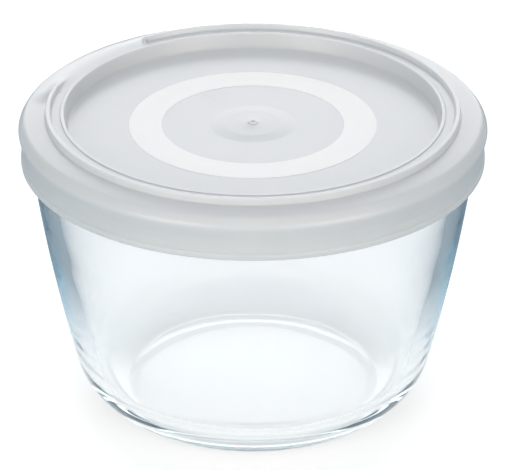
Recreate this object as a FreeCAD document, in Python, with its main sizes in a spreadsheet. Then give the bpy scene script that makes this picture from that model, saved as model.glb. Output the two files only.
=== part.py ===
"""Round glass storage dish with a snap-fit lid.

The dish is pressed glass: a flat floor, a broad rounded corner and a wall that leans out and
thins towards a rounded rim.  The lid is one thin moulding: a sunk panel, a ledge with a thin
stacking ridge round it, a flat shoulder over the glass rim and a skirt that hangs outside it.

Both pieces are turned about +Z.  The origin is the centre of the foot, on the table.
Lengths are millimetres.
"""
import FreeCAD, Part
import math
import os
import Sketcher

# Driving dimensions.  "_r" is a distance from the axis and "_z" a height above the table.
SIZES = {
    # dish, outside
    "foot_inner_r": 33.4,
    "hollow_z": 0.6,
    "hollow_dome": 930.0,
    "corner_r": 29.9,
    "corner_z": 17.96,
    "outer_corner": 18.8,
    "outer_wall": 480.0,
    # dish, rim and inside
    "rim_r": 59.9,
    "rim_z": 78.45,
    "rim_round": 1.95,
    "inner_wall": 470.0,
    "inner_corner": 13.0,
    "floor_r": 31.0,
    "floor_z": 5.2,
    # lid, heights
    "skin": 1.2,
    "skirt_z": 69.9,
    "flange_z": 71.2,
    "notch_z": 73.8,
    "side_z": 75.9,
    "bulge_z": 79.3,
    "panel_z": 79.1,
    "seat_z": 80.4,
    "fin_z": 77.3,
    "shoulder_edge_z": 81.5,
    "shoulder_z": 82.2,
    "ledge_z": 82.95,
    "lip_z": 83.2,
    "ridge_z": 84.15,
    # lid, radii
    "wall_foot_r": 49.15,
    "wall_top_r": 50.05,
    "wall_fillet": 0.85,
    "edge_round": 0.25,
    "lip_r": 50.9,
    "ridge_foot_r": 53.25,
    "ridge_inner_r": 53.75,
    "ridge_outer_r": 54.8,
    "shoulder_r": 55.05,
    "shoulder_edge_r": 60.6,
    "bulge_r": 62.15,
    "bulge_round": 1.9,
    "side_r": 61.45,
    "notch_r": 61.2,
    "flange_r": 61.6,
    # lid, underside
    "under_r": 50.1,
    "fin_inner_r": 54.0,
    "fin_wall": 0.6,
    "fin_outer_r": 55.5,
    "channel_r": 60.8,
    "channel_round": 0.6,
    "bead_r": 60.25,
    "bead_z": 74.7,
    "skirt_inner_r": 60.45,
    # lid, blank pad in the ridge
    "pad_middle": 146.0,
    "pad_sweep": 43.5,
    "pad_crest_r": 52.8,
    "pad_crest_z": 83.3,
    "pad_end_r": 60.3,
    "pad_end_z": 81.45,
    "pad_crown": 15.5,
    "pad_root": 0.6,
    # lid, relief on the panel
    "band_inner_r": 24.1,
    "band_outer_r": 32.9,
    "band_rise": 0.1,
    "boss_r": 8.6,
    "boss_foot_r": 10.4,
    "boss_rise": 0.35,
    "gate_r": 1.45,
    "gate_hole_r": 0.75,
    "gate_rise": 0.4,
    "gate_slope": 0.15,
    # how deep the added pieces reach into the shell
    "relief_root": 0.4,
    "ridge_root": 0.3,
}

# how a sketch numbers its origin, its axes and an arc's centre
ORIGIN = (-1, 1)
H_AXIS = -1
V_AXIS = -2
CENTRE = 3
# cubic millimetres that the lid and the rim may share where they touch
MOST_OVERLAP = 0.01

doc = FreeCAD.newDocument("glass_storage_dish")


def make_sheet():
    """Put every driving dimension in a spreadsheet, one alias each."""
    table = doc.addObject("Spreadsheet::Sheet", "dims")
    for row, (name, size) in enumerate(SIZES.items(), start=1):
        table.set(f"A{row}", name)
        table.set(f"B{row}", str(size))
        table.setAlias(f"B{row}", name)
    doc.recompute()
    return table


def length(total):
    """Add up names and numbers such as "panel_z - skin"."""
    result = 0.0
    sign = 1.0
    for word in str(total).split():
        if word in "+-":
            sign = -1.0 if word == "-" else 1.0
        else:
            result += sign * (SIZES[word] if word in SIZES else float(word))
    return result


def expression(total):
    """Write the same sum as an expression on the spreadsheet."""
    return " ".join(f"dims.{word}" if word in SIZES else word for word in str(total).split())


def arc_between(start, end, radius, turns_left):
    """Arc from start to end that curves to the left or to the right on the way."""
    chord = end - start
    left = FreeCAD.Vector(-chord.y, chord.x, 0).normalize()
    bulge = radius - (radius**2 - (chord.Length / 2) ** 2) ** 0.5
    through = (start + end) * 0.5 - left * bulge * (1 if turns_left else -1)
    return Part.Arc(start, through, end)


def bind(sketch, kind, *where, size):
    """Add one dimension and tie it to the spreadsheet."""
    index = sketch.addConstraint(Sketcher.Constraint(kind, *where, length(size)))
    sketch.setExpression(f"Constraints[{index}]", expression(size))


def place_point(sketch, where, radius=None, height=None):
    """Set a point's distance from the axis, its height, or both."""
    if radius is not None and length(radius) == 0:
        sketch.addConstraint(Sketcher.Constraint("PointOnObject", *where, V_AXIS))
    elif radius is not None:
        bind(sketch, "DistanceX", *ORIGIN, *where, size=radius)
    if height is not None and length(height) == 0:
        sketch.addConstraint(Sketcher.Constraint("PointOnObject", *where, H_AXIS))
    elif height is not None:
        bind(sketch, "DistanceY", *ORIGIN, *where, size=height)


def draw_outline(sketch, corners, bends=None, smooth=(), settled=None):
    """Draw a closed outline and return the number of its first side.

    corners are (radius, height) in order round the outline.  bends[i] is the radius of the
    arc that leaves corner i, with "left" or "right" for its turn; other sides are straight.
    The sides run smoothly through the corners in smooth.  settled[i] names the coordinates
    of corner i, "r", "z" or "rz", that are left to those tangencies.
    """
    bends = bends or {}
    settled = settled or {}
    first = sketch.GeometryCount
    spots = [FreeCAD.Vector(length(radius), length(height), 0) for radius, height in corners]
    for i, start in enumerate(spots):
        end = spots[(i + 1) % len(spots)]
        if i in bends:
            radius, turn = bends[i]
            side = arc_between(start, end, length(radius), turn == "left")
        else:
            side = Part.LineSegment(start, end)
        sketch.addGeometry(side, False)

    for i, (radius, height) in enumerate(corners):
        before = (i - 1) % len(corners)
        # a sketch stores every arc counter-clockwise, so one that turns right is reversed
        leaving = (first + i, 2 if i in bends and bends[i][1] == "right" else 1)
        arriving = (first + before, 1 if before in bends and bends[before][1] == "right" else 2)
        joint = "Tangent" if i in smooth else "Coincident"
        sketch.addConstraint(Sketcher.Constraint(joint, *arriving, *leaving))
        loose = settled.get(i, "")
        place_point(sketch, leaving, None if "r" in loose else radius, None if "z" in loose else height)
        if i in bends:
            bind(sketch, "Radius", first + i, size=bends[i][0])
    return first


def new_sketch(body, name, azimuth=None):
    """Sketch on the XZ plane, turned about the axis to an azimuth if one is given."""
    sketch = body.newObject("Sketcher::SketchObject", name)
    plane = next(item for item in body.Origin.OriginFeatures if item.Role == "XZ_Plane")
    sketch.AttachmentSupport = [(plane, "")]
    sketch.MapMode = "FlatFace"
    if azimuth:
        turn = FreeCAD.Rotation(FreeCAD.Vector(0, 1, 0), length(azimuth))
        sketch.AttachmentOffset = FreeCAD.Placement(FreeCAD.Vector(), turn)
        sketch.setExpression("AttachmentOffset.Rotation.Angle", expression(azimuth))
    return sketch


def turn_round(body, sketch, name, sweep=None):
    """Turn a sketch about the axis, all the way or through a sweep centred on the sketch."""
    solid = body.newObject("PartDesign::Revolution", name)
    solid.Profile = sketch
    solid.ReferenceAxis = (sketch, ["V_Axis"])
    solid.Angle = 360.0
    if sweep:
        solid.Midplane = True
        solid.setExpression("Angle", expression(sweep))
    doc.recompute()
    return solid


def new_body(name):
    body = doc.addObject("PartDesign::Body", name)
    body.Label = name
    return body


def around(center_r, center_z, radius, degrees):
    """Point on an arc, from its centre and the direction to it."""
    angle = math.radians(degrees)
    return (
        length(center_r) + length(radius) * math.cos(angle),
        length(center_z) + length(radius) * math.sin(angle),
    )


def make_dish():
    """Pressed glass: hollowed underside, rounded corner, leaning wall and rounded rim."""
    body = new_body("glass_dish")
    sketch = new_sketch(body, "dish_profile")
    # near enough for the sketch to settle these points itself, in degrees round their arcs
    foot_end, wall_start, wall_end = -72.8, -14.3, -15.0
    corners = [
        ("0", "hollow_z"),
        ("foot_inner_r", "0"),
        (around("corner_r", "corner_z", "outer_corner", foot_end)[0], "0"),
        around("corner_r", "corner_z", "outer_corner", wall_start),
        ("rim_r", "rim_z"),
        ("rim_r - rim_round", "rim_z + rim_round"),
        ("rim_r - rim_round - rim_round", "rim_z"),
        around("floor_r", "floor_z + inner_corner", "inner_corner", wall_end),
        ("floor_r", "floor_z"),
        ("0", "floor_z"),
    ]
    bends = {
        0: ("hollow_dome", "right"),
        2: ("outer_corner", "left"),
        3: ("outer_wall", "left"),
        4: ("rim_round", "left"),
        5: ("rim_round", "left"),
        6: ("inner_wall", "right"),
        7: ("inner_corner", "right"),
    }
    first = draw_outline(sketch, corners, bends, smooth=(3, 7, 8), settled={2: "r", 3: "rz", 7: "rz"})
    place_point(sketch, (first + 2, CENTRE), "corner_r", "corner_z")
    turn_round(body, sketch, "dish_turned")
    return body


def draw_shell(sketch):
    """Outline of the lid's shell: along the underside, round the skirt and back over the top."""
    underside = [
        ("0", "panel_z - skin"),
        ("under_r", "panel_z - skin"),
        ("under_r + edge_round + edge_round", "panel_z - skin + edge_round + edge_round"),
        ("wall_top_r + skin", "ledge_z - skin"),
        ("fin_inner_r", "ledge_z - skin"),
        ("fin_inner_r + edge_round", "fin_z"),
        ("fin_inner_r + edge_round + fin_wall", "fin_z"),
        ("fin_outer_r", "seat_z"),
        ("channel_r - channel_round", "seat_z"),
        ("channel_r", "seat_z - channel_round"),
        ("channel_r", "bead_z + skin + skin"),
        ("bead_r", "bead_z"),
        ("skirt_inner_r", "bead_z - skin"),
        ("skirt_inner_r", "skirt_z"),
    ]
    outside = [
        ("flange_r - edge_round", "skirt_z"),
        ("flange_r", "skirt_z + edge_round"),
        ("flange_r", "flange_z"),
        ("notch_r", "flange_z + edge_round + edge_round"),
        ("notch_r", "notch_z"),
        ("side_r", "side_z"),
        ("bulge_r", "bulge_z"),
        ("shoulder_edge_r", "shoulder_edge_z"),
        ("shoulder_r", "shoulder_z"),
        ("ridge_outer_r", "ledge_z"),
        ("lip_r + edge_round", "ledge_z"),
        ("lip_r", "lip_z"),
        ("wall_top_r + edge_round", "lip_z"),
        ("wall_top_r", "lip_z - edge_round"),
        ("wall_foot_r", "panel_z + wall_fillet"),
        ("wall_foot_r - wall_fillet", "panel_z"),
        ("0", "panel_z"),
    ]
    turned = len(underside)
    bends = {
        1: ("edge_round + edge_round", "left"),
        8: ("channel_round", "right"),
        turned: ("edge_round", "left"),
        turned + 6: ("bulge_round", "left"),
        turned + 12: ("edge_round", "left"),
        turned + 14: ("wall_fillet", "right"),
    }
    draw_outline(sketch, underside + outside, bends)


def draw_ridge(sketch):
    """Section of the thin stacking ridge, which stands on the ledge and the shoulder."""
    corners = [
        ("ridge_foot_r", "ledge_z - ridge_root"),
        ("shoulder_r", "shoulder_z - ridge_root"),
        ("shoulder_r", "shoulder_z"),
        ("ridge_outer_r", "ridge_z - edge_round"),
        ("ridge_outer_r - edge_round", "ridge_z"),
        ("ridge_inner_r + edge_round", "ridge_z"),
        ("ridge_inner_r", "ridge_z - edge_round"),
        ("ridge_foot_r", "ledge_z"),
    ]
    bends = {3: ("edge_round", "left"), 5: ("edge_round", "left")}
    draw_outline(sketch, corners, bends)


def draw_pad(sketch):
    """Section of the blank pad, a low crown from the lip to the edge of the shoulder."""
    corners = [
        ("lip_r", "lip_z - pad_root"),
        ("pad_end_r", "pad_end_z - pad_root"),
        ("pad_end_r", "pad_end_z"),
        ("pad_crest_r", "pad_crest_z"),
        ("lip_r", "lip_z"),
    ]
    draw_outline(sketch, corners, {2: ("pad_crown", "left")})


def draw_relief(sketch):
    """Low relief on the panel: the gate mark on its boss, and the matt band round them."""
    boss_top = "panel_z + boss_rise"
    boss = [
        ("0", "panel_z - relief_root"),
        ("boss_foot_r", "panel_z - relief_root"),
        ("boss_foot_r", "panel_z"),
        ("boss_r", boss_top),
        ("gate_r", boss_top),
        ("gate_r - gate_slope", f"{boss_top} + gate_rise"),
        ("gate_hole_r", f"{boss_top} + gate_rise"),
        ("gate_hole_r - gate_slope", boss_top),
        ("0", boss_top),
    ]
    band = [
        ("band_inner_r", "panel_z - relief_root"),
        ("band_outer_r", "panel_z - relief_root"),
        ("band_outer_r", "panel_z + band_rise"),
        ("band_inner_r", "panel_z + band_rise"),
    ]
    draw_outline(sketch, boss)
    draw_outline(sketch, band)


def make_lid():
    """Snap-on lid: one shell with the ridge, the blank pad and the panel's relief on it."""
    body = new_body("snap_lid")
    shell = new_sketch(body, "shell_profile")
    draw_shell(shell)
    turn_round(body, shell, "shell_turned")

    ridge = new_sketch(body, "ridge_profile", "pad_middle + 180")
    draw_ridge(ridge)
    turn_round(body, ridge, "ridge_turned", "360 - pad_sweep")

    pad = new_sketch(body, "pad_profile", "pad_middle")
    draw_pad(pad)
    turn_round(body, pad, "pad_turned", "pad_sweep")

    relief = new_sketch(body, "relief_profile")
    draw_relief(relief)
    turn_round(body, relief, "relief_turned")
    return body


def check_document():
    """Stop if anything failed to compute."""
    for item in doc.Objects:
        if {"Invalid", "Error"} & set(item.State):
            raise SystemExit(f"{item.Name} did not compute: {item.State}")


def check_sub_part(body):
    shape = body.Shape
    if shape.isNull() or not shape.isValid() or len(shape.Solids) != 1:
        raise SystemExit(f"{body.Label} is not one valid solid")
    box = shape.optimalBoundingBox()
    print(
        f"{body.Label}: {shape.Volume / 1000:.1f} cm3, {len(shape.Faces)} faces, "
        f"{box.XLength:.2f} x {box.YLength:.2f} mm, z {box.ZMin:.2f} to {box.ZMax:.2f}"
    )


def report_capacity(dish):
    """Print what the dish holds, filled level with its rim."""
    floor = FreeCAD.Vector(0, 0, length("floor_z"))
    plug = Part.makeCylinder(length("rim_r - rim_round"), length("rim_z + rim_round - floor_z"), floor)
    inside = floor + FreeCAD.Vector(0, 0, 1)
    room = next(piece for piece in plug.cut(dish.Shape).Solids if piece.isInside(inside, 0.01, False))
    print(f"capacity to the rim: {room.Volume / 1000:.0f} ml")


sheet = make_sheet()
sub_parts = [make_dish(), make_lid()]
doc.recompute()
check_document()
for sub_part in sub_parts:
    check_sub_part(sub_part)
overlap = sub_parts[0].Shape.common(sub_parts[1].Shape).Volume
if overlap > MOST_OVERLAP:
    raise SystemExit(f"the lid cuts {overlap:.3f} mm3 into the dish")
report_capacity(sub_parts[0])

os.makedirs("parts", exist_ok=True)
for sub_part in sub_parts:
    sub_part.Shape.exportStep(f"parts/{sub_part.Label}.step")
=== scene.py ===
"""Looks of the glass storage dish and its snap-fit lid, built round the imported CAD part.

Both pieces are turned about +Z, the same way as the CAD solids that they stand for.  Outlines
are written in millimetres, and everything in the scene is in metres.
"""
import math

import bpy
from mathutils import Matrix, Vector


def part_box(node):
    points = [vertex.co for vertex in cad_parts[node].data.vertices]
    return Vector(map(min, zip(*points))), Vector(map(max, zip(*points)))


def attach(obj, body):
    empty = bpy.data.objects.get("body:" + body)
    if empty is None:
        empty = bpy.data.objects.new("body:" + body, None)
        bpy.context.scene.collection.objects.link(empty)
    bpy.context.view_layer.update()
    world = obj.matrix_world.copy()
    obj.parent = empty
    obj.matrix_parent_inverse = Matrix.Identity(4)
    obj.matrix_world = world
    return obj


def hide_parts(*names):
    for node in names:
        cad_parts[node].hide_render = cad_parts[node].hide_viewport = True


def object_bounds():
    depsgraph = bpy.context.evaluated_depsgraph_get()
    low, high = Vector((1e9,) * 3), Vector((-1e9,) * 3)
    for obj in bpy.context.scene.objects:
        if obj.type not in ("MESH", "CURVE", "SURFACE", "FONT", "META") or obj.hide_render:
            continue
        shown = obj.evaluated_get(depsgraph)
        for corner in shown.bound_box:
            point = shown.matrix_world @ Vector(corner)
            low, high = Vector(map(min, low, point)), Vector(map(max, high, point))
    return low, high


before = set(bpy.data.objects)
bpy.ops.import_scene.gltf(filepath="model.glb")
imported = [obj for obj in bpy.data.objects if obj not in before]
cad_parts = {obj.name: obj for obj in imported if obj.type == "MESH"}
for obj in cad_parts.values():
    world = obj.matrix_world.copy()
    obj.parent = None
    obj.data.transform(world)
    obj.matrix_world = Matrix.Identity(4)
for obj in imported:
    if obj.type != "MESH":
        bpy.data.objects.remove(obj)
cad_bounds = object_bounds()

MM = 0.001
dish_low, dish_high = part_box("glass_dish")
lid_low, lid_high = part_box("snap_lid")

# Heights and radii that the outlines below are measured from, in millimetres.
TABLE = dish_low.z / MM
RIM_TOP = dish_high.z / MM
RIM_R = dish_high.x / MM
LID_TOP = lid_high.z / MM
LID_FOOT = lid_low.z / MM
LID_R = lid_high.x / MM


def polar(centre, radius, degrees):
    angle = math.radians(degrees)
    return (centre[0] + radius * math.cos(angle), centre[1] + radius * math.sin(angle))


def arc(centre, radius, start, stop, steps):
    """Points along an arc of an outline, both ends included; angles in degrees from +r."""
    return [polar(centre, radius, start + (stop - start) * i / steps) for i in range(steps + 1)]


def bow(start, end, radius, steps):
    """Points along a shallow arc from start to end that bulges away from the axis side."""
    (r0, z0), (r1, z1) = start, end
    chord = math.hypot(r1 - r0, z1 - z0)
    middle = ((r0 + r1) / 2, (z0 + z1) / 2)
    across = (abs(z1 - z0) / chord, -(r1 - r0) * (1 if z1 > z0 else -1) / chord)
    reach = math.sqrt(radius**2 - (chord / 2) ** 2)
    centre = (middle[0] - across[0] * reach, middle[1] - across[1] * reach)
    first = math.degrees(math.atan2(z0 - centre[1], r0 - centre[0]))
    last = math.degrees(math.atan2(z1 - centre[1], r1 - centre[0]))
    return arc(centre, radius, first, last, steps)


def rounded(corners, steps=4):
    """Outline through corners (r, z, rounding), with an arc of that radius at each corner."""
    outline = []
    for i, (r, z, rounding) in enumerate(corners):
        if not rounding or i in (0, len(corners) - 1):
            outline.append((r, z))
            continue
        here = Vector((r, z))
        back = Vector(corners[i - 1][:2]) - here
        ahead = Vector(corners[i + 1][:2]) - here
        half = back.angle(ahead) / 2
        reach = min(rounding / math.tan(half), back.length * 0.49, ahead.length * 0.49)
        radius = reach * math.tan(half)
        back.normalize()
        ahead.normalize()
        centre = here + (back + ahead).normalized() * (radius / math.sin(half))
        first = here + back * reach - centre
        turn = first.angle_signed(here + ahead * reach - centre)
        for k in range(steps + 1):
            angle = -turn * k / steps
            spoke = Vector((
                first.x * math.cos(angle) - first.y * math.sin(angle),
                first.x * math.sin(angle) + first.y * math.cos(angle),
            ))
            outline.append(tuple(centre + spoke))
    return outline


def step_up(value, low, high):
    share = min(1.0, max(0.0, (value - low) / (high - low)))
    return share * share * (3 - 2 * share)


def turned(name, outline_at, azimuths):
    """Mesh object turned about +Z; outline_at(azimuth) starts and ends on the axis."""
    first = outline_at(0)
    points = [(0, 0, first[0][1] * MM)]
    for azimuth in azimuths:
        c, s = math.cos(math.radians(azimuth)), math.sin(math.radians(azimuth))
        points += [(r * c * MM, r * s * MM, z * MM) for r, z in outline_at(azimuth)[1:-1]]
    points.append((0, 0, first[-1][1] * MM))

    rows, last = len(first) - 2, len(points) - 1
    faces = []
    for j in range(len(azimuths)):
        here, there = 1 + j * rows, 1 + (j + 1) % len(azimuths) * rows
        faces.append((0, there, here))
        for i in range(rows - 1):
            faces.append((here + i, there + i, there + i + 1, here + i + 1))
        faces.append((last, here + rows - 1, there + rows - 1))

    mesh = bpy.data.meshes.new(name)
    mesh.from_pydata(points, [], faces)
    mesh.update()
    mesh.shade_smooth()
    piece = bpy.data.objects.new(name, mesh)
    bpy.context.scene.collection.objects.link(piece)
    smooth = piece.modifiers.new("even_normals", "WEIGHTED_NORMAL")
    smooth.mode = "FACE_AREA"
    smooth.weight = 60
    return piece


# ---------------------------------------------------------------- glass dish

# The dish's curves, by their radius in millimetres, and where the foot touches the table.
DOME_ROUND, OUTER_WALL_ROUND, INNER_WALL_ROUND = 930.0, 480.0, 470.0
OUTER_CORNER_ROUND, INNER_CORNER_ROUND, RIM_ROUND = 18.8, 13.0, 1.95
HOLLOW_DEPTH, HOLLOW_R, FOOT_R = 0.6, 33.4, 34.4


def dish_outline():
    """From the middle of the underside, out over the foot, up the wall and back to the floor."""
    outer_centre = (RIM_R - 30.0, TABLE + 17.96)
    inner_centre = (RIM_R - 28.9, TABLE + 18.2)
    rim = (RIM_R - RIM_ROUND, RIM_TOP - RIM_ROUND)
    dome_centre = (0, TABLE + HOLLOW_DEPTH - DOME_ROUND)
    dome_half = math.degrees(math.asin(HOLLOW_R / DOME_ROUND))
    outer_corner = arc(outer_centre, OUTER_CORNER_ROUND, -72.8, -14.3, 30)
    inner_corner = arc(inner_centre, INNER_CORNER_ROUND, -15.0, -90.0, 30)
    outer_wall = bow(outer_corner[-1], (RIM_R, rim[1]), OUTER_WALL_ROUND, 36)
    inner_wall = bow((rim[0] - RIM_ROUND, rim[1]), inner_corner[0], INNER_WALL_ROUND, 36)
    floor = inner_corner[-1][1]
    return (
        arc(dome_centre, DOME_ROUND, 90, 90 - dome_half, 12)
        + [(FOOT_R, TABLE)]
        + outer_corner
        + outer_wall[1:]
        + arc(rim, RIM_ROUND, 0, 180, 16)[1:]
        + inner_wall[1:]
        + inner_corner[1:]
        + [(14.0, floor), (0, floor)]
    )


WAVE = 0.008


def wavy(outline, azimuth):
    """Moves the inner wall in and out by about a hundredth of a millimetre, as pressing leaves it."""
    a = math.radians(azimuth)
    moved = []
    for r, z in outline:
        on_inner_wall = r < RIM_R - 3.6 - 0.12 * (RIM_TOP - z)
        share = step_up(z, TABLE + 7, TABLE + 16) * on_inner_wall
        wave = (
            math.sin(0.55 * z + 2.0 * math.sin(2 * a) + math.sin(5 * a + 1))
            + 0.7 * math.sin(0.31 * z + 9 * a)
            + 0.7 * math.sin(17 * a - 0.2 * z)
        )
        moved.append((r + WAVE * share * wave, z))
    return moved


def make_dish():
    steps = 384
    outline = dish_outline()
    return turned(
        "pressed_glass_dish",
        lambda azimuth: wavy(outline, azimuth),
        [360 * j / steps for j in range(steps)],
    )


# ---------------------------------------------------------------- lid

PAD_MIDDLE, PAD_HALF = 146.0, 21.75
LIP_R, RIDGE_R, SHOULDER_EDGE_R = 50.9, 54.8, LID_R - 1.55
BAND_INNER_R, BAND_OUTER_R = 24.12, 32.88
PANEL_DEPTH = 5.05


def lid_top_outline():
    """Top and outside of the lid, from the middle of the panel to the foot of the skirt."""
    top = LID_TOP
    return rounded([
        (0, top - 4.70, 0),
        (0.6, top - 4.70, 0.1),
        (0.75, top - 4.30, 0.15),
        (1.3, top - 4.30, 0.15),
        (1.45, top - 4.70, 0.1),
        (7.6, top - 4.70, 8.0),
        (9.5, top - 4.88, 8.0),
        (11.4, top - PANEL_DEPTH, 8.0),
        (24.1, top - PANEL_DEPTH, 0.05),
        (24.15, top - 4.95, 0.05),
        (32.85, top - 4.95, 0.05),
        (32.9, top - PANEL_DEPTH, 0.05),
        (49.15, top - PANEL_DEPTH, 0.85),
        (50.05, top - 0.95, 0.3),
        (LIP_R, top - 0.95, 0.15),
        (51.15, top - 1.20, 0.15),
        (53.25, top - 1.20, 0.25),
        (53.75, top, 0.25),
        (RIDGE_R, top, 0.25),
        (55.05, top - 1.95, 0.25),
        (SHOULDER_EDGE_R, top - 2.65, 1.9),
        (LID_R + 0.13, top - 4.85, 2.2),
        (LID_R - 0.7, top - 8.25, 1.5),
        (LID_R - 0.95, top - 10.35, 1.0),
        (LID_R - 0.95, top - 12.45, 0.2),
        (LID_R - 0.55, top - 12.95, 0.25),
        (LID_R - 0.55, LID_FOOT, 0.3),
        (LID_R - 1.7, LID_FOOT, 0),
    ])


def lid_under_outline():
    """Underside of the lid, from the foot of the skirt to the middle of the panel."""
    under = LID_TOP - 6.25
    return rounded([
        (LID_R - 1.7, LID_FOOT, 0),
        (LID_R - 1.7, LID_TOP - 10.65, 0.6),
        (LID_R - 1.9, LID_TOP - 9.45, 0.5),
        (LID_R - 1.35, LID_TOP - 7.05, 0.6),
        (LID_R - 1.35, RIM_TOP, 0.6),
        (55.5, RIM_TOP, 0.3),
        (54.85, RIM_TOP - 3.1, 0.2),
        (54.25, RIM_TOP - 3.1, 0.2),
        (54.0, LID_TOP - 2.4, 0.3),
        (51.25, LID_TOP - 2.4, 0.4),
        (50.6, under, 0.5),
        (0, under, 0),
    ])[1:]


def divided(outline, low, high, length):
    """Adds points to an outline wherever it runs straight between radii low and high."""
    finer = [outline[0]]
    for (r0, z0), (r1, z1) in zip(outline, outline[1:]):
        inside = low <= min(r0, r1) and max(r0, r1) <= high and z0 > LID_TOP - 3
        parts = max(1, round(math.hypot(r1 - r0, z1 - z0) / length)) if inside else 1
        shares = [i / parts for i in range(1, parts + 1)]
        finer += [(r0 + (r1 - r0) * share, z0 + (z1 - z0) * share) for share in shares]
    return finer


def pad_height(r):
    """Height of the blank pad, a low crown from the lip to the edge of the shoulder."""
    along = (r - LIP_R) / (SHOULDER_EDGE_R - LIP_R)
    return LID_TOP - 0.95 - 1.70 * along + 0.75 * math.sin(math.pi * along)


# Depth below the top of the lid of the pad's left end, where it meets ledge, ridge and shoulder.
PAD_END = [
    (50.9, 0.95), (51.3, 1.19), (52.9, 1.19), (53.5, 0.75), (54.1, 0.15),
    (54.8, 0.12), (55.5, 0.55), (57.0, 1.45), (58.8, 2.10), (60.6, 2.65),
]


def pad_end_height(r):
    for (r0, depth0), (r1, depth1) in zip(PAD_END, PAD_END[1:]):
        if r <= r1:
            break
    share = min(1.0, max(0.0, (r - r0) / (r1 - r0)))
    return LID_TOP - depth0 - (depth1 - depth0) * share


def with_pad(outline, azimuth):
    """Fills the ledge and lowers the ridge over the blank pad, with rounded ends."""
    shaped = []
    for r, z in outline:
        if LIP_R < r < SHOULDER_EDGE_R and z > LID_TOP - 2.7:
            half = math.radians(PAD_HALF) * r
            beyond = math.radians(azimuth - PAD_MIDDLE) * r
            # at the right, the ridge turns in round the end of the ledge
            right = half + beyond + (r - LIP_R) ** 2 / 7.0
            hook = LID_TOP - 0.95 + 0.95 * step_up(r, 51.3, 53.3)
            if r < 53.6:
                z += (hook - z) * step_up(right, -0.12, 0.12) * step_up(-beyond, 0, 1)
            # at the left, the crown turns into the ridge, and into the shoulder further on
            left = half - beyond
            crown = pad_end_height(r)
            crown += (pad_height(r) - crown) * step_up(left, 0.5, 11.0)
            if r < 54.3:
                end = step_up(left - 1.3 * step_up(r, 53.25, 54.3), -0.15, 0.25)
            else:
                end = step_up(left, -6.5, 1.5)
            z += (crown - z) * step_up(right, 0.75, 1.45) * end
        shaped.append((r, z))
    return shaped


def lid_azimuths():
    """Coarse steps round the lid, and fine ones over each end of the pad."""
    ends = [PAD_MIDDLE - PAD_HALF, PAD_MIDDLE + PAD_HALF]
    azimuths = []
    azimuth = 0.0
    while azimuth < 360 - 0.05:
        azimuths.append(azimuth)
        near = min(abs(azimuth - end) for end in ends)
        azimuth += 0.12 if near < 2.2 else 1.0
    return azimuths


def make_lid():
    top = divided(lid_top_outline(), LIP_R, SHOULDER_EDGE_R, 0.6)
    under = lid_under_outline()
    return turned(
        "frosted_snap_lid",
        lambda azimuth: (with_pad(top, azimuth) + under)[::-1],
        lid_azimuths(),
    )


# ---------------------------------------------------------------- materials

def new_material(name):
    material = bpy.data.materials.new(name)
    material.use_nodes = True
    nodes = material.node_tree.nodes
    nodes.clear()
    output = nodes.new("ShaderNodeOutputMaterial")
    shader = nodes.new("ShaderNodeBsdfPrincipled")
    material.node_tree.links.new(shader.outputs[0], output.inputs["Surface"])
    return material, shader, output


def glass_material():
    material, shader, output = new_material("clear_glass")
    tree = material.node_tree
    shader.inputs["Base Color"].default_value = (1, 1, 1, 1)
    shader.inputs["Roughness"].default_value = 0.0
    shader.inputs["IOR"].default_value = 1.49
    shader.inputs["Transmission Weight"].default_value = 1.0
    tint = tree.nodes.new("ShaderNodeVolumeAbsorption")
    tint.inputs["Color"].default_value = (0.70, 0.88, 0.95, 1)
    tint.inputs["Density"].default_value = 13.0
    tree.links.new(tint.outputs[0], output.inputs["Volume"])
    return material


LIGHT_REACH = 0.0015


def plastic_material(name, colour, roughness, grain):
    """Frosted plastic that light spreads in; grain is how deep its fine texture is."""
    material, shader, output = new_material(name)
    tree = material.node_tree
    shader.inputs["Roughness"].default_value = roughness
    shader.inputs["IOR"].default_value = 1.5
    shader.inputs["Subsurface Weight"].default_value = 0.9
    shader.inputs["Subsurface Radius"].default_value = (1.0, 1.0, 1.0)
    shader.inputs["Subsurface Scale"].default_value = LIGHT_REACH
    place = tree.nodes.new("ShaderNodeTexCoord")
    noise = tree.nodes.new("ShaderNodeTexNoise")
    noise.inputs["Scale"].default_value = 90.0
    noise.inputs["Detail"].default_value = 3.0
    tree.links.new(place.outputs["Object"], noise.inputs["Vector"])
    ramp = tree.nodes.new("ShaderNodeValToRGB")
    ramp.color_ramp.elements[0].position = 0.3
    ramp.color_ramp.elements[0].color = (*[c * 0.985 for c in colour], 1)
    ramp.color_ramp.elements[1].position = 0.7
    ramp.color_ramp.elements[1].color = (*colour, 1)
    tree.links.new(noise.outputs["Fac"], ramp.inputs["Fac"])
    tree.links.new(ramp.outputs["Color"], shader.inputs["Base Color"])
    fine = tree.nodes.new("ShaderNodeTexNoise")
    fine.inputs["Scale"].default_value = 2500.0
    fine.inputs["Detail"].default_value = 2.0
    tree.links.new(place.outputs["Object"], fine.inputs["Vector"])
    bump = tree.nodes.new("ShaderNodeBump")
    bump.inputs["Strength"].default_value = grain
    bump.inputs["Distance"].default_value = 0.00003
    tree.links.new(fine.outputs["Fac"], bump.inputs["Height"])
    tree.links.new(bump.outputs["Normal"], shader.inputs["Normal"])
    return material


def floor_material():
    material, shader, output = new_material("pale_floor")
    shader.inputs["Base Color"].default_value = (0.9, 0.9, 0.9, 1)
    shader.inputs["Roughness"].default_value = 0.9
    shader.inputs["Specular IOR Level"].default_value = 0.0
    shader.inputs["Emission Color"].default_value = (1, 1, 1, 1)
    shader.inputs["Emission Strength"].default_value = 0.5
    return material


# Painted shade: radius in metres where the grey-blue sheet starts, and the distance over which it
# fades in.
PAINTED_SHADE_START, PAINTED_SHADE_FADE = 0.045, 0.05


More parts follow.
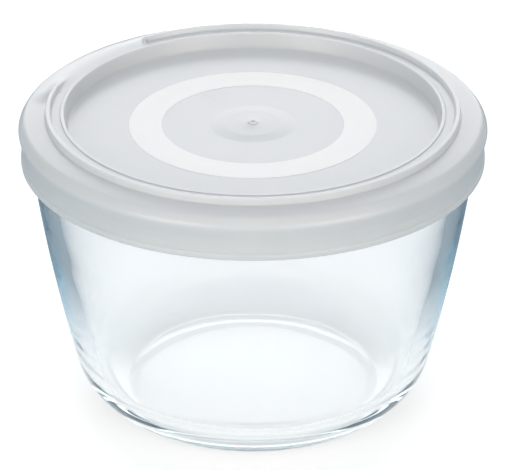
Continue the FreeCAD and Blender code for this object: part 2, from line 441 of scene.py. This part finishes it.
def painted_shade_material():
    """Painted shade: grey-blue sheet standing in for shade round the dish; it fades out towards the
    dish, and a straight look through glass misses it.
    """
    material, shader, output = new_material("painted_shade_card")
    shader.inputs["Base Color"].default_value = (0.47, 0.55, 0.61, 1)
    shader.inputs["Roughness"].default_value = 0.9
    shader.inputs["Specular IOR Level"].default_value = 0.0
    tree = material.node_tree
    place = tree.nodes.new("ShaderNodeTexCoord")
    away = tree.nodes.new("ShaderNodeVectorMath")
    away.operation = "LENGTH"
    fade = tree.nodes.new("ShaderNodeMapRange")
    fade.interpolation_type = "SMOOTHSTEP"
    fade.inputs["From Min"].default_value = PAINTED_SHADE_START
    fade.inputs["From Max"].default_value = PAINTED_SHADE_START + PAINTED_SHADE_FADE
    path = tree.nodes.new("ShaderNodeLightPath")
    reflected = tree.nodes.new("ShaderNodeMath")
    reflected.operation = "GREATER_THAN"
    reflected.inputs[1].default_value = 0.5
    outside = tree.nodes.new("ShaderNodeMath")
    outside.operation = "LESS_THAN"
    outside.inputs[1].default_value = 0.5
    either = tree.nodes.new("ShaderNodeMath")
    either.operation = "MAXIMUM"
    cover = tree.nodes.new("ShaderNodeMath")
    cover.operation = "MULTIPLY"
    tree.links.new(place.outputs["Object"], away.inputs[0])
    tree.links.new(away.outputs["Value"], fade.inputs["Value"])
    tree.links.new(path.outputs["Glossy Depth"], reflected.inputs[0])
    tree.links.new(path.outputs["Transmission Depth"], outside.inputs[0])
    tree.links.new(reflected.outputs[0], either.inputs[0])
    tree.links.new(outside.outputs[0], either.inputs[1])
    tree.links.new(fade.outputs["Result"], cover.inputs[0])
    tree.links.new(either.outputs[0], cover.inputs[1])
    tree.links.new(cover.outputs[0], shader.inputs["Alpha"])
    return material


# ---------------------------------------------------------------- build the object

dish = make_dish()
dish.data.materials.append(glass_material())
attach(dish, "dish")
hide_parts("glass_dish")

lid = make_lid()
lid.data.materials.append(plastic_material("frosted_plastic", (0.70, 0.715, 0.735), 0.28, 0.15))
lid.data.materials.append(plastic_material("matt_band", (0.96, 0.975, 0.985), 0.38, 0.5))
for face in lid.data.polygons:
    radius, height = math.hypot(face.center.x, face.center.y) / MM, face.center.z / MM
    if BAND_INNER_R < radius < BAND_OUTER_R and height > LID_TOP - PANEL_DEPTH - 0.45:
        face.material_index = 1
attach(lid, "lid")
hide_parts("snap_lid")


# ---------------------------------------------------------------- studio

def make_sheet(name, half, height, material):
    """Square level sheet centred under the dish, which isn't part of the object."""
    mesh = bpy.data.meshes.new(name)
    corners = [(x * half, y * half, height) for x, y in ((-1, -1), (1, -1), (1, 1), (-1, 1))]
    mesh.from_pydata(corners, [], [(0, 1, 2, 3)])
    sheet = bpy.data.objects.new(name, mesh)
    bpy.context.scene.collection.objects.link(sheet)
    sheet.data.materials.append(material)
    return sheet


def make_floor():
    make_sheet("floor", 4.0, dish_low.z - 0.0001, floor_material())


def make_painted_shade():
    """Painted shade sheet round the dish, hidden from the camera and from shadow rays; the edges of
    the glass show it as darker bands.
    """
    shade_flag = make_sheet("painted_shade_card", 1.2, dish_low.z - 0.00005, painted_shade_material())
    shade_flag.visible_camera = shade_flag.visible_shadow = False


# Soft lights painted on the sky: azimuth clockwise from behind the object, elevation, how far
# the light reaches from its middle, all in degrees, then its strength and colour.
SKY_LIGHTS = [
    (0, 12, 35, 2.2, (1.04, 1.0, 0.97)),
    (0, 42, 38, 0.5, (1.0, 1.0, 1.0)),
    (-135, 26, 35, 0.27, (1.15, 1.0, 1.0)),
    (135, 26, 35, 0.36, (1.05, 1.0, 0.95)),
    (180, 26, 45, 0.55, (1.15, 1.0, 0.9)),
]
SKY_BASE = (0.25, 0.30, 0.33)


def direction(azimuth, elevation):
    """Towards an azimuth, clockwise from behind the object, and an elevation, in degrees."""
    a, e = math.radians(azimuth), math.radians(elevation)
    return Vector((math.sin(a) * math.cos(e), math.cos(a) * math.cos(e), math.sin(e)))


def make_world():
    """Dim sky with soft lights on it; the camera sees a plain white one in its place."""
    world = bpy.data.worlds.new("studio")
    bpy.context.scene.world = world
    world.use_nodes = True
    tree = world.node_tree
    tree.nodes.clear()
    place = tree.nodes.new("ShaderNodeTexCoord")
    total = None
    for azimuth, elevation, reach, strength, colour in SKY_LIGHTS:
        toward = tree.nodes.new("ShaderNodeVectorMath")
        toward.operation = "DOT_PRODUCT"
        toward.inputs[1].default_value = direction(azimuth, elevation)
        tree.links.new(place.outputs["Generated"], toward.inputs[0])
        fade = tree.nodes.new("ShaderNodeMapRange")
        fade.interpolation_type = "SMOOTHERSTEP"
        fade.inputs["From Min"].default_value = math.cos(math.radians(reach))
        fade.inputs["From Max"].default_value = 1.0
        fade.inputs["To Max"].default_value = strength
        tree.links.new(toward.outputs["Value"], fade.inputs["Value"])
        add = tree.nodes.new("ShaderNodeVectorMath")
        add.operation = "MULTIPLY_ADD"
        add.inputs[1].default_value = colour
        add.inputs[2].default_value = SKY_BASE
        tree.links.new(fade.outputs["Result"], add.inputs[0])
        if total:
            tree.links.new(total, add.inputs[2])
        total = add.outputs["Vector"]
    light = tree.nodes.new("ShaderNodeBackground")
    tree.links.new(total, light.inputs["Color"])
    seen = tree.nodes.new("ShaderNodeBackground")
    seen.inputs["Color"].default_value = (1, 1, 1, 1)
    path = tree.nodes.new("ShaderNodeLightPath")
    mix = tree.nodes.new("ShaderNodeMixShader")
    output = tree.nodes.new("ShaderNodeOutputWorld")
    tree.links.new(path.outputs["Is Camera Ray"], mix.inputs[0])
    tree.links.new(light.outputs[0], mix.inputs[1])
    tree.links.new(seen.outputs[0], mix.inputs[2])
    tree.links.new(mix.outputs[0], output.inputs["Surface"])


def aim(thing, target):
    thing.rotation_mode = "QUATERNION"
    thing.rotation_quaternion = (target - thing.location).to_track_quat("-Z", "Y")


# Soft lamps: name, azimuth, elevation, power in watts and colour.
SOFT_LIGHTS = [
    ("left_low", -141, 10, 5.6, (1.03, 1.0, 0.9)),
    ("right_low", 141, 10, 4.5, (1.08, 1.0, 0.87)),
    ("overhead", 0, 85, 1.9, (1.1, 1.0, 1.0)),
]


LAMP_SIZE, LAMP_DISTANCE = 0.8, 1.3


def make_soft_light(name, azimuth, elevation, power, colour):
    """Large area lamp that lights the plastic and the floor, and isn't seen through the glass."""
    light = bpy.data.lights.new(name, "AREA")
    light.shape = "DISK"
    light.size = LAMP_SIZE
    light.energy = power
    light.color = colour
    lamp = bpy.data.objects.new(name, light)
    bpy.context.scene.collection.objects.link(lamp)
    target = Vector((0, 0, 0.07))
    lamp.location = target + direction(azimuth, elevation) * LAMP_DISTANCE
    aim(lamp, target)
    lamp.visible_camera = lamp.visible_transmission = False


CAMERA_ELEVATION, CAMERA_DISTANCE = 26.91, 1.0537


def make_camera():
    data = bpy.data.cameras.new("camera")
    data.lens = 275.6
    data.sensor_width = 36.0
    data.shift_x = 0.006
    data.clip_start, data.clip_end = 0.01, 50
    camera = bpy.data.objects.new("camera", data)
    bpy.context.scene.collection.objects.link(camera)
    target = Vector((0, 0, (cad_bounds[0].z + cad_bounds[1].z) / 2 + 0.004))
    camera.location = target + direction(180, CAMERA_ELEVATION) * CAMERA_DISTANCE
    aim(camera, target)
    bpy.context.scene.camera = camera


make_floor()
make_painted_shade()
make_world()
for soft_light in SOFT_LIGHTS:
    make_soft_light(*soft_light)
make_camera()
bpy.context.scene.view_settings.view_transform = "Standard"
# light runs a long way inside the glass wall before it comes out
paths = bpy.context.scene.cycles
paths.max_bounces = paths.glossy_bounces = paths.transmission_bounces = 128
